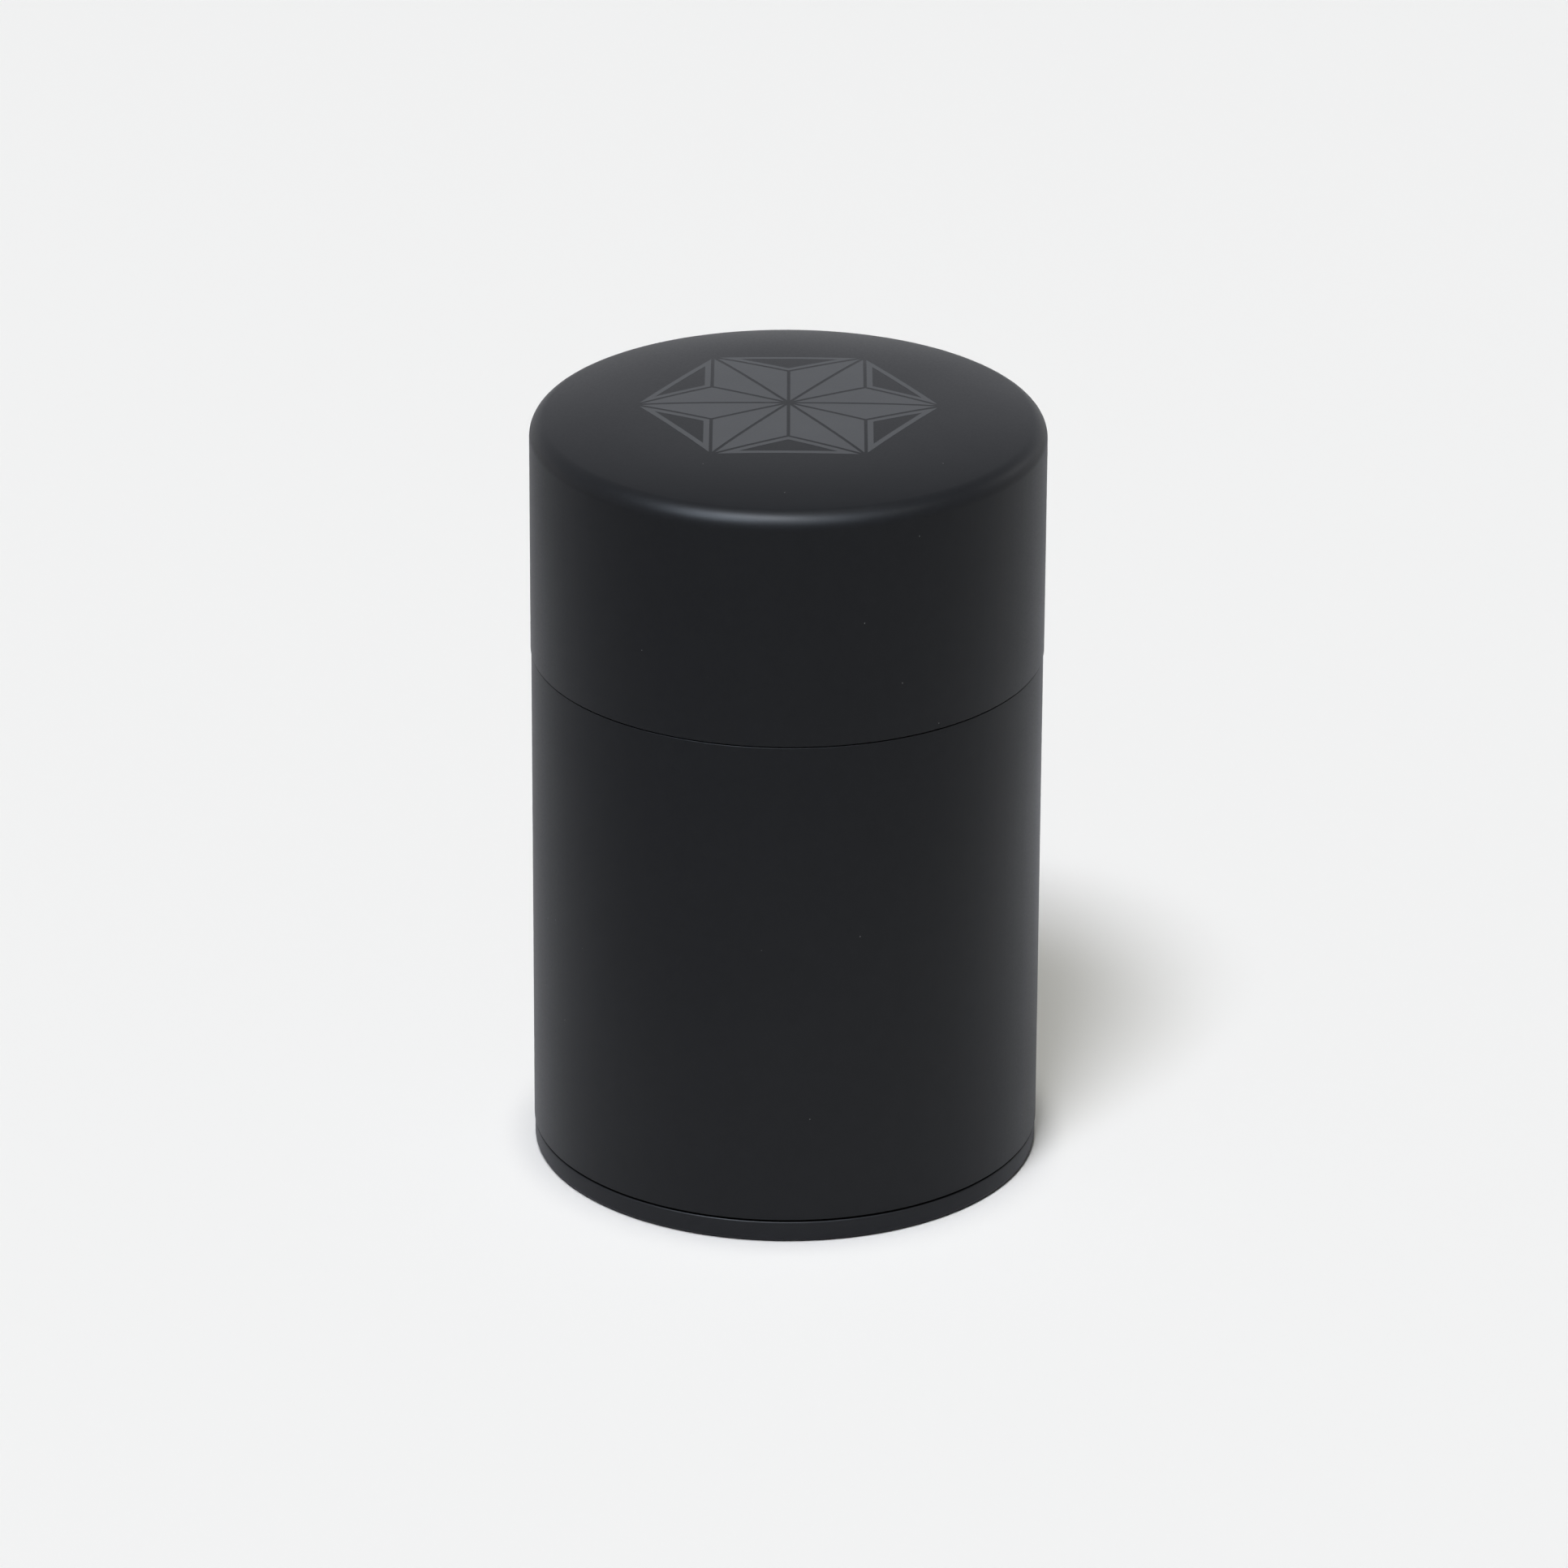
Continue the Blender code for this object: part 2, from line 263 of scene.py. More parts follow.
def foot_cap_rings():
    low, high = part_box("base_cap")
    band = high.x
    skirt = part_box("outer_body")[1].x - SHELL_SHEET - FIT_CLEARANCE
    panel = band - FOOT_WIDTH
    ledge = low.z + BASE_BAND_HEIGHT
    return [
        Ring(panel - BASE_BEND - SUPPORT, low.z + BASE_PANEL_RISE, None),
        Ring(panel, low.z + BASE_PANEL_RISE, BASE_BEND),
        Ring(panel, low.z, BASE_BEND + SHELL_SHEET),
        Ring(band, low.z, BASE_CORNER),
        Ring(band, ledge, BASE_TOP_EDGE),
        Ring(skirt, ledge),
        Ring(skirt, high.z, SHELL_EDGE),
        Ring(skirt - SHELL_SHEET, high.z, SHELL_EDGE),
        Ring(skirt - SHELL_SHEET, ledge - SHELL_SHEET),
        Ring(band - SHELL_SHEET, ledge - SHELL_SHEET),
        Ring(band - SHELL_SHEET, low.z + SHELL_SHEET, BASE_CORNER - SHELL_SHEET),
        Ring(panel + SHELL_SHEET, low.z + SHELL_SHEET, BASE_BEND),
        Ring(panel + SHELL_SHEET, low.z + BASE_PANEL_RISE + SHELL_SHEET, BASE_BEND + SHELL_SHEET),
        Ring(panel - BASE_BEND - SUPPORT, low.z + BASE_PANEL_RISE + SHELL_SHEET),
    ]


def neck_shade_top():
    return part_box("outer_body")[1].z + NECK_SHADE_RISE


def can_wall_rings():
    low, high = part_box("inner_can")
    bore = high.x - CAN_SHEET
    neck_bore = bore - CAN_SHEET
    return [
        Ring(bore, low.z, CAN_EDGE),
        Ring(high.x, low.z, CAN_EDGE),
        Ring(high.x, neck_shade_top()),
        Ring(high.x, high.z, NECK_RIM_ROUND),
        Ring(neck_bore, high.z, NECK_RIM_ROUND),
        Ring(neck_bore, high.z - NECK_HEM, CAN_EDGE),
        Ring(bore, high.z - NECK_HEM),
    ]


def can_floor_rings():
    low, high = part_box("inner_can_bottom")
    radius = high.x
    panel = high.z - CAN_SHEET
    border = panel - CAN_BOTTOM_PANEL_RISE
    panel_radius = radius - CAN_BOTTOM_BORDER
    return [
        Ring(panel_radius - CAN_SHEET - SUPPORT, panel, None),
        Ring(panel_radius - CAN_SHEET, panel, CAN_EDGE),
        Ring(panel_radius, border, CAN_EDGE),
        Ring(radius - CAN_SHEET, border, CAN_BEND),
        Ring(radius - CAN_SHEET, low.z, CAN_EDGE),
        Ring(radius, low.z, CAN_EDGE),
        Ring(radius, border + CAN_SHEET, CAN_BEND + CAN_SHEET),
        Ring(panel_radius, border + CAN_SHEET, CAN_EDGE),
        Ring(panel_radius - CAN_SHEET, high.z, CAN_EDGE),
        Ring(panel_radius - CAN_SHEET - SUPPORT, high.z),
    ]


def plug_lid_rings():
    low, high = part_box("inner_lid")
    neck_bore = high.x - CAN_SHEET - CAN_SHEET
    plug = neck_bore - FIT_CLEARANCE
    bore = plug - CAN_SHEET
    seat = high.z - CAN_SHEET
    plate = low.z + CAN_SHEET
    panel = plate + INNER_PANEL_RISE
    panel_foot = INNER_PANEL_RADIUS + CAN_SHEET
    hole = RIVET_SHANK_RADIUS + FIT_CLEARANCE
    return [
        Ring(hole, panel, CAN_EDGE),
        Ring(hole, panel - CAN_SHEET, CAN_EDGE),
        Ring(INNER_PANEL_RADIUS, panel - CAN_SHEET, CAN_EDGE),
        Ring(panel_foot, low.z, CAN_EDGE),
        Ring(plug, low.z, PLUG_BEND + CAN_SHEET),
        Ring(plug, seat, FLANGE_BEND),
        Ring(high.x, seat, CAN_EDGE),
        Ring(high.x, high.z, CAN_EDGE),
        Ring(bore, high.z, FLANGE_BEND + CAN_SHEET),
        Ring(bore, plate, PLUG_BEND),
        Ring(panel_foot, plate, CAN_EDGE),
        Ring(INNER_PANEL_RADIUS, panel, CAN_EDGE),
    ]


def knob_rings():
    low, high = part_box("inner_lid_knob")
    hole = RIVET_SHANK_RADIUS + FIT_CLEARANCE
    hole_top = low.z + RIVET_REACH + RIVET_END_CLEARANCE
    foot_top = low.z + KNOB_FOOT_THICKNESS
    head_foot = high.z - KNOB_HEAD_THICKNESS
    return [
        Ring(hole, hole_top, None),
        Ring(hole, low.z, CAN_EDGE),
        Ring(KNOB_FOOT_RADIUS, low.z, CAN_EDGE),
        Ring(KNOB_FOOT_RADIUS, foot_top, KNOB_FOOT_ROUND),
        Ring(KNOB_WAIST_RADIUS, foot_top, KNOB_WAIST_ROUND),
        Ring(KNOB_WAIST_RADIUS, head_foot, KNOB_WAIST_ROUND),
        Ring(high.x, head_foot, KNOB_HEAD_ROUND),
        Ring(high.x, high.z, KNOB_HEAD_ROUND),
        Ring(high.x - KNOB_HEAD_ROUND - SUPPORT, high.z),
    ]


def rivet_rings():
    low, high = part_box("knob_rivet")
    head_top = low.z + RIVET_HEAD_THICKNESS
    return [
        Ring(high.x - RIVET_HEAD_ROUND - SUPPORT, low.z, None),
        Ring(high.x, low.z, RIVET_HEAD_ROUND),
        Ring(high.x, head_top, CAN_EDGE),
        Ring(RIVET_SHANK_RADIUS, head_top),
        Ring(RIVET_SHANK_RADIUS, high.z, CAN_EDGE),
        Ring(RIVET_SHANK_RADIUS - SUPPORT, high.z),
    ]


# One grain of a finish: its waves to the metre, and how many finer ones ride on them
Grain = namedtuple("Grain", "per_metre detail", defaults=[2])
GRAIN_LOW = 0.3  # a grain's values lie between about these
GRAIN_HIGH = 0.7

# Paint, primer and ink: linear colours, roughness, gloss, and depths in metres
PAINT_DARK = (0.0056, 0.0063, 0.0079)
PAINT_LIGHT = (0.0070, 0.0077, 0.0095)
BASE_PAINT_DARK = (0.0100, 0.0108, 0.0132)
BASE_PAINT_LIGHT = (0.0128, 0.0137, 0.0164)
PAINT_ROUGHNESS = 0.40
PAINT_GLOSS = 0.142
WIPED = Grain(26)
WIPED_SWING = 0.025
MOTTLE = Grain(380)
FINE = Grain(2600, detail=3)
FINE_SHARE = 0.5
FINE_SWING = 0.02
FINE_DEPTH = 0.0000006
PEEL = Grain(1300)
PEEL_DEPTH = 0.0000022
WEAR = Grain(700, detail=4)
WEAR_START = 0.45
WEAR_END = 0.62
WORN_PAINT = (0.030, 0.031, 0.033)
WORN_POLISH = 0.14
FOOT_WEAR_HEIGHT = 0.00006
# the pale colour of the dust specks, and of the painted bounce light at the foot
DUST_AND_BOUNCE = (0.16, 0.16, 0.16)
DUST_CELLS = 210
DUST_REACH = 0.016
FOOT_BOUNCE_SHARE = 0.029  # how much pale colour is painted on at the foot, a painted bounce light from the floor
FOOT_BOUNCE_START = 0.005  # it thins between these heights
FOOT_BOUNCE_END = 0.072
FOOT_BOUNCE_THIN = 0.8  # and the wiped grain varies it between this much of it
FOOT_BOUNCE_THICK = 1.2  # and this much
# Dark dull paint in the seams: a painted shade where the joints fall into shadow
SEAM_SHADE_DARK = (0.0020, 0.0021, 0.0023)
SEAM_SHADE_LIGHT = (0.0034, 0.0035, 0.0037)
SEAM_SHADE_ROUGHNESS = 0.8
SEAM_SHADE_GLOSS = 0.03
SEAM_SHADE_GRAIN = Grain(900, detail=3)
INK_DARK = (0.048, 0.050, 0.054)
INK_LIGHT = (0.066, 0.069, 0.075)
INK_ROUGHNESS = 0.48
INK_SWING = 0.03
INK_PATCHES = Grain(160)
INK_PATCH_TONE = 0.8  # the thinnest patches' tone
INK_FINE_TONE = 0.7  # and the fine grain's
INK_FINE_DEPTH = 0.0000010

# Tin plate and turned steel
TIN_DARK = (0.56, 0.56, 0.545)
TIN_LIGHT = (0.64, 0.64, 0.62)
TIN_ROUGHNESS = 0.28
ROLLING = Grain(90, detail=6)
ROLLING_SWING = 0.015
ROLLING_DEPTH = 0.00000025
CLOUDS = Grain(120, detail=3)
CLOUD_SHARE = 0.6
RUBBING = Grain(60, detail=5)
RUBBED_SMOOTHER = -0.008
RUBBED_ROUGHER = 0.010
RUBBED_DEPTH = 0.00000012
CRYSTAL_CELLS = 420
CRYSTAL_SWING = 0.012
WALL_LINES = (1, 1, 45)
SHEET_LINES = (1, 45, 1)
SLIDING_MARKS = (30, 30, 1)
SHEET_MARKS = (6, 6, 6)
STEEL_DARK = (0.47, 0.47, 0.46)
STEEL_LIGHT = (0.58, 0.58, 0.57)
STEEL_ROUGHNESS = 0.22
LATHE = Grain(5200, detail=4)
LATHE_DEPTH = 0.0000014
LATHE_BANDS = Grain(700)
LATHE_BAND_SWING = 0.05
LATHE_BAND_DEPTH = 0.0000020
SMUDGES = Grain(260, detail=3)
SMUDGE_SMOOTHER = -0.03
SMUDGE_ROUGHER = 0.04


# Finishes

def start_finish(name, colour, roughness, metallic=0):
    """A new material's node tree, its shader and the piece's own coordinates."""
    material = bpy.data.materials.new(name)
    material.use_nodes = True
    tree = material.node_tree
    shader = tree.nodes["Principled BSDF"]
    shader.inputs["Base Color"].default_value = (*colour, 1)
    shader.inputs["Roughness"].default_value = roughness
    shader.inputs["Metallic"].default_value = metallic
    place = tree.nodes.new("ShaderNodeTexCoord").outputs["Object"]
    return material, tree, shader, place


def stretched(tree, place, stretch):
    """The coordinates scaled by different amounts, so that a grain on them runs in lines."""
    mapping = tree.nodes.new("ShaderNodeMapping")
    mapping.inputs["Scale"].default_value = stretch
    tree.links.new(place, mapping.inputs["Vector"])
    return mapping.outputs["Vector"]


def parts_of(tree, place):
    """The X, Y and Z of a place or direction."""
    parts = tree.nodes.new("ShaderNodeSeparateXYZ")
    tree.links.new(place, parts.inputs["Vector"])
    return parts.outputs


def lay_grain(tree, place, grain):
    """An uneven grain over a piece."""
    noise = tree.nodes.new("ShaderNodeTexNoise")
    noise.inputs["Scale"].default_value = grain.per_metre
    noise.inputs["Detail"].default_value = grain.detail
    tree.links.new(place, noise.inputs["Vector"])
    return noise.outputs["Fac"]


def spread(tree, value, low, high, start=GRAIN_LOW, end=GRAIN_HIGH):
    """A value between start and end, spread between low and high."""
    ranging = tree.nodes.new("ShaderNodeMapRange")
    tree.links.new(value, ranging.inputs["Value"])
    for socket, number in (("From Min", start), ("From Max", end), ("To Min", low), ("To Max", high)):
        ranging.inputs[socket].default_value = number
    return ranging.outputs["Result"]


def swing(tree, grain, most):
    """A grain spread evenly about 0, by at most so much."""
    return spread(tree, grain, -most, most)


def combine(tree, operation, first, second):
    """Two values, each a socket or a number, put through one operation."""
    maths = tree.nodes.new("ShaderNodeMath")
    maths.operation = operation
    for socket, value in zip(maths.inputs, (first, second)):
        if isinstance(value, bpy.types.NodeSocket):
            tree.links.new(value, socket)
        else:
            socket.default_value = value
    return maths.outputs["Value"]


def add_up(tree, total, *values):
    """The sum of several values, each a socket or a number."""
    for value in values:
        total = combine(tree, "ADD", total, value)
    return total


def lay_together(tree, first, second, share):
    """Two grains in one, of which the first makes up the share."""
    first = combine(tree, "MULTIPLY", first, share)
    second = combine(tree, "MULTIPLY", second, 1 - share)
    return combine(tree, "ADD", first, second)


def tint(tree, factor, first, second):
    """A colour between two, each a socket or three numbers, by the factor."""
    mix = tree.nodes.new("ShaderNodeMix")
    mix.data_type = "RGBA"
    tree.links.new(factor, mix.inputs["Factor"])
    for name, value in (("A", first), ("B", second)):
        socket = next(s for s in mix.inputs if s.name == name and s.type == "RGBA")
        if isinstance(value, bpy.types.NodeSocket):
            tree.links.new(value, socket)
        else:
            socket.default_value = (*value, 1)
    return next(s for s in mix.outputs if s.type == "RGBA")


def relief(tree, shader, *layers):
    """Bumps laid one over the other, each a height from 0 to 1 and its depth in metres."""
    normal = None
    for height, depth in layers:
        bump = tree.nodes.new("ShaderNodeBump")
        bump.inputs["Distance"].default_value = depth
        tree.links.new(height, bump.inputs["Height"])
        if normal:
            tree.links.new(normal, bump.inputs["Normal"])
        normal = bump.outputs["Normal"]
    tree.links.new(normal, shader.inputs["Normal"])


def specks(tree, place):
    """A few fine specks of dust: 1 on a speck, 0 beside it."""
    cells = tree.nodes.new("ShaderNodeTexVoronoi")
    cells.inputs["Scale"].default_value = DUST_CELLS
    tree.links.new(place, cells.inputs["Vector"])
    return combine(tree, "LESS_THAN", cells.outputs["Distance"], DUST_REACH)


def worn_foot(tree, place, height):
    """Patches rubbed off the foot: 1 on a patch, 0 beside it."""
    under = combine(tree, "LESS_THAN", height, FOOT_WEAR_HEIGHT)
    patches = spread(tree, lay_grain(tree, place, WEAR), 0, 1, WEAR_START, WEAR_END)
    return combine(tree, "MULTIPLY", under, patches)


def painted_foot_bounce(tree, height, wiped):
    """How much pale colour the paint gets: painted bounce light from the floor, strongest at the foot,
    thinning upwards and uneven with the wiped grain.
    """
    haze = spread(tree, height, FOOT_BOUNCE_SHARE, 0, FOOT_BOUNCE_START, FOOT_BOUNCE_END)
    return combine(tree, "MULTIPLY", haze, spread(tree, wiped, FOOT_BOUNCE_THIN, FOOT_BOUNCE_THICK))


def paint_black(name, dark, light):
    """Matte enamel: faint orange peel, a soft mottle, wiped patches, a worn foot, dust specks, and
    painted bounce light that lightens it towards the foot.
    """
    material, tree, shader, place = start_finish(name, dark, PAINT_ROUGHNESS)
    shader.inputs["Specular IOR Level"].default_value = PAINT_GLOSS
    wiped = lay_grain(tree, place, WIPED)
    mottle = lay_grain(tree, place, MOTTLE)
    fine = lay_grain(tree, place, FINE)
    peel = lay_grain(tree, place, PEEL)
    height = parts_of(tree, place)["Z"]
    worn = worn_foot(tree, place, height)
    tone = lay_together(tree, fine, mottle, FINE_SHARE)
    colour = tint(tree, spread(tree, tone, 0, 1), dark, light)
    colour = tint(tree, worn, colour, WORN_PAINT)
    # painted bounce light from the floor, paler towards the foot
    colour = tint(tree, painted_foot_bounce(tree, height, wiped), colour, DUST_AND_BOUNCE)
    colour = tint(tree, specks(tree, place), colour, DUST_AND_BOUNCE)
    tree.links.new(colour, shader.inputs["Base Color"])
    rough = add_up(tree, swing(tree, wiped, WIPED_SWING), swing(tree, fine, FINE_SWING), PAINT_ROUGHNESS)
    rough = combine(tree, "SUBTRACT", rough, combine(tree, "MULTIPLY", worn, WORN_POLISH))
    tree.links.new(rough, shader.inputs["Roughness"])
    relief(tree, shader, (peel, PEEL_DEPTH), (fine, FINE_DEPTH))
    return material


def paint_seam_shade():
    """Dark dull paint in the seams, a painted shade that keeps them dark from every side."""
    material, tree, shader, place = start_finish("painted_seam_shade", SEAM_SHADE_DARK, SEAM_SHADE_ROUGHNESS)
    shader.inputs["Specular IOR Level"].default_value = SEAM_SHADE_GLOSS
    tone = spread(tree, lay_grain(tree, place, SEAM_SHADE_GRAIN), 0, 1)
    tree.links.new(tint(tree, tone, SEAM_SHADE_DARK, SEAM_SHADE_LIGHT), shader.inputs["Base Color"])
    relief(tree, shader, (lay_grain(tree, place, PEEL), PEEL_DEPTH))
    return material


def print_ink():
    """Screen ink, a tone lighter than the paint, with the paint's peel showing through."""
    material, tree, shader, place = start_finish("print_ink", INK_LIGHT, INK_ROUGHNESS)
    shader.inputs["Specular IOR Level"].default_value = PAINT_GLOSS
    fine = lay_grain(tree, place, FINE)
    patchy = lay_grain(tree, place, INK_PATCHES)
    tone = combine(
        tree,
        "MULTIPLY",
        spread(tree, fine, INK_FINE_TONE, 1),
        spread(tree, patchy, INK_PATCH_TONE, 1),
    )
    tree.links.new(tint(tree, tone, INK_DARK, INK_LIGHT), shader.inputs["Base Color"])
    rough = spread(tree, fine, INK_ROUGHNESS - INK_SWING, INK_ROUGHNESS + INK_SWING)
    tree.links.new(rough, shader.inputs["Roughness"])
    relief(tree, shader, (lay_grain(tree, place, PEEL), PEEL_DEPTH), (fine, INK_FINE_DEPTH))
    return material


def tin(name, stretch, marks):
    """Satin tin plate: rolling lines, soft cloudy crystals and, on sliding walls, fine rubbed marks."""
    material, tree, shader, place = start_finish(name, TIN_LIGHT, TIN_ROUGHNESS, 1)
    lines = lay_grain(tree, stretched(tree, place, stretch), ROLLING)
    clouds = lay_grain(tree, place, CLOUDS)
    rubbed = lay_grain(tree, stretched(tree, place, marks), RUBBING)
    crystals = tree.nodes.new("ShaderNodeTexVoronoi")
    crystals.inputs["Scale"].default_value = CRYSTAL_CELLS
    tree.links.new(place, crystals.inputs["Vector"])
    flakes = tree.nodes.new("ShaderNodeSeparateColor")
    tree.links.new(crystals.outputs["Color"], flakes.inputs["Color"])
    tone = spread(tree, lay_together(tree, clouds, lines, CLOUD_SHARE), 0, 1)
    tree.links.new(tint(tree, tone, TIN_DARK, TIN_LIGHT), shader.inputs["Base Color"])
    rough = add_up(
        tree,
        swing(tree, lines, ROLLING_SWING),
        spread(tree, rubbed, RUBBED_SMOOTHER, RUBBED_ROUGHER),
        spread(tree, flakes.outputs["Red"], -CRYSTAL_SWING, CRYSTAL_SWING, 0, 1),
        TIN_ROUGHNESS,
    )
    tree.links.new(rough, shader.inputs["Roughness"])
    relief(tree, shader, (lines, ROLLING_DEPTH), (rubbed, RUBBED_DEPTH))
    return material


def turned():
    """Turned steel: lathe lines round the axis, which follow the distance from it and the height."""
    material, tree, shader, place = start_finish("lathe_steel", STEEL_LIGHT, STEEL_ROUGHNESS, 1)
    parts = parts_of(tree, place)
    across = combine(tree, "POWER", parts["X"], 2)
    along = combine(tree, "POWER", parts["Y"], 2)
    radius = combine(tree, "SQRT", combine(tree, "ADD", across, along), 0)
    profile = tree.nodes.new("ShaderNodeCombineXYZ")
    tree.links.new(radius, profile.inputs["X"])
    tree.links.new(parts["Z"], profile.inputs["Y"])
    lines = lay_grain(tree, profile.outputs["Vector"], LATHE)
    bands = lay_grain(tree, profile.outputs["Vector"], LATHE_BANDS)
    smudge = lay_grain(tree, place, SMUDGES)
    tone = spread(tree, lines, 0, 1)
    tree.links.new(tint(tree, tone, STEEL_DARK, STEEL_LIGHT), shader.inputs["Base Color"])
    rough = add_up(
        tree,
        swing(tree, bands, LATHE_BAND_SWING),
        spread(tree, smudge, SMUDGE_SMOOTHER, SMUDGE_ROUGHER),
        STEEL_ROUGHNESS,
    )
    tree.links.new(rough, shader.inputs["Roughness"])
    relief(tree, shader, (lines, LATHE_DEPTH), (bands, LATHE_BAND_DEPTH))
    return material


black_paint = paint_black("shell_paint", PAINT_DARK, PAINT_LIGHT)
base_paint = paint_black("base_paint", BASE_PAINT_DARK, BASE_PAINT_LIGHT)
# dark dull paint that stands in for the shade in the seams
seam_shade_paint = paint_seam_shade()
ink = print_ink()
wall_tin = tin("wall_tin", WALL_LINES, SLIDING_MARKS)
sheet_tin = tin("sheet_tin", SHEET_LINES, SHEET_MARKS)
turned_steel = turned()


# Making the canister

def outward(face):
    """How much a face points away from the canister's axis, or towards it where this is below 0."""
    return face.normal.dot(Vector((*face.center.xy, 0)).normalized())


def line_inside(piece):
    """Gives the faces inside the painted lid the bare tin, all but the cut edge at its rim."""
    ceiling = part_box("outer_lid")[0].z + LID_SHOULDER
    for face in piece.data.polygons:
        bore_side = outward(face) < -FACING
        ceiling_side = face.normal.z < -FACING and face.center.z > ceiling
        face.material_index = 1 if bore_side or ceiling_side else 0


def shade_can_seam(piece):
    """Gives the can's outside the dark seam paint, a painted shade in the lid's seam, up to just above
    the shell's edge.
    """
    for face in piece.data.polygons:
        hidden = outward(face) > FACING and face.center.z < neck_shade_top()
        face.material_index = 1 if hidden else 0


def shade_foot_seam(piece):
    """Gives the skirt and the upper part of the band's round edge the dark seam paint, a painted shade
    in the base's seam.
    """
    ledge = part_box("base_cap")[0].z + BASE_BAND_HEIGHT
    for face in piece.data.polygons:
        edge = face.normal.z > JOINT_FACING and face.center.z > ledge - BASE_TOP_EDGE
        skirt = outward(face) > FACING and face.center.z > ledge
        face.material_index = 1 if edge or skirt else 0


def shade_cut_edge(piece):
    """Gives the body tube's lower cut edge the dark seam paint, a painted shade along the base's seam.
    """
    edge_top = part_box("outer_body")[0].z + SHELL_EDGE
    for face in piece.data.polygons:
        cut = face.normal.z < -FACING and face.center.z < edge_top
        face.material_index = 1 if cut else 0


def select_corners(star):
    """Selects the star's six outer triangles, which lie furthest from its middle."""
    shape = bmesh.from_edit_mesh(star.data)
    for face in shape.faces:
        far = math.hypot(*face.calc_center_median().xy) > PRINT_CORNER_SHARE * PRINT_RADIUS
        face.select_set(far)
    bmesh.update_edit_mesh(star.data)


def print_star(lid):
    """A hemp-leaf star in a hexagon: six split petals and six outlined corners, in a film of ink."""
    bpy.ops.object.select_all(action="DESELECT")
    bpy.ops.mesh.primitive_circle_add(vertices=6, radius=PRINT_RADIUS, fill_type="TRIFAN")
    star = bpy.context.object
    star.name = "lid_print"
    bpy.ops.object.mode_set(mode="EDIT")
    bpy.ops.mesh.select_mode(type="FACE")
    bpy.ops.mesh.select_all(action="SELECT")
    bpy.ops.transform.rotate(value=PRINT_TURN, orient_axis="Z", center_override=(0, 0, 0))
    bpy.ops.mesh.poke()
    bpy.ops.mesh.inset(thickness=PRINT_GAP / 2, depth=0, use_individual=True)
    bpy.ops.mesh.select_all(action="INVERT")
    bpy.ops.mesh.delete(type="FACE")
    select_corners(star)
    bpy.ops.mesh.inset(thickness=PRINT_LINE, depth=0, use_individual=True)
    bpy.ops.mesh.delete(type="FACE")
    bpy.ops.mesh.select_all(action="SELECT")
    bpy.ops.mesh.subdivide(number_cuts=PRINT_CUTS)
    bpy.ops.transform.translate(value=(0, 0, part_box("outer_lid")[1].z + LID_SHOULDER))
    bpy.ops.object.mode_set(mode="OBJECT")
    lay = star.modifiers.new("lay", "SHRINKWRAP")
    lay.target = lid
    lay.wrap_method = "PROJECT"
    lay.use_project_z = True
    lay.use_negative_direction = True
    lay.use_positive_direction = False
    lay.offset = INK_RISE
    film = star.modifiers.new("film", "SOLIDIFY")
    film.thickness = INK_DEPTH
    film.offset = -1
    bpy.ops.object.modifier_apply(modifier="lay")
    bpy.ops.object.modifier_apply(modifier="film")
    bpy.ops.object.shade_smooth_by_angle(angle=SMOOTH_ANGLE)
    return star


lid_cap = turn_piece("lid_cap", lid_cap_rings())
fit_piece(lid_cap, "outer_lid", [black_paint, wall_tin])
line_inside(lid_cap)
body_tube = turn_piece("body_tube", body_tube_rings())
fit_piece(body_tube, "outer_body", [black_paint, seam_shade_paint])
shade_cut_edge(body_tube)
foot_cap = turn_piece("foot_cap", foot_cap_rings())
fit_piece(foot_cap, "base_cap", [base_paint, seam_shade_paint])
shade_foot_seam(foot_cap)
can_wall = turn_piece("can_wall", can_wall_rings())
fit_piece(can_wall, "inner_can", [wall_tin, seam_shade_paint])
shade_can_seam(can_wall)
fit_piece(turn_piece("can_floor", can_floor_rings()), "inner_can_bottom", [sheet_tin])
fit_piece(turn_piece("plug_lid", plug_lid_rings()), "inner_lid", [sheet_tin])
knob = turn_piece("lifting_knob", knob_rings(), KNOB_POINTS)
fit_piece(knob, "inner_lid_knob", [turned_steel])
rivet = turn_piece("rivet", rivet_rings(), KNOB_POINTS)
fit_piece(rivet, "knob_rivet", [turned_steel])

lid_print = print_star(lid_cap)
lid_print.data.materials.append(ink)
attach(lid_print, frame["nodes"]["outer_lid"]["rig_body"])


# The floor, with places in metres
FLOOR_REACH = 10.0
BACKGROUND = 0.887  # linear value of the pale ground
CARD = (BACKGROUND, BACKGROUND, BACKGROUND)
BLACK = (0, 0, 0)
WHITE = (1, 1, 1)
CENTRE = (0, 0, 0)
FADE_START = 0.6  # between these distances the floor turns from lit card to plain background
FADE_END = 1.3
CARD_SHEEN = (0.878, 0.889, 0.935)  # the floor's colour in reflections, a painted tint seen only there
BRIGHT_SHEEN = (0.970, 0.985, 1.000)  # and at the front right
BRIGHT_START = 0.02  # a painted brightening, seen only in reflections, grows between these lengths to the right and front
BRIGHT_END = 0.16
DIM_CENTRE = (0.09, -0.06, 0)  # a painted dimming, seen only in reflections, grows between these distances from here
DIM_START = 0.10
DIM_END = 0.45
DIM_SHARE = 0.32
SHADE_CENTRE = (0, 0.045, 0)  # and a painted shadow, seen only in reflections, near here behind the canister, where shadows gather
SHADE_START = 0.03
SHADE_END = 0.11
SHADE_SHARE = 0.38

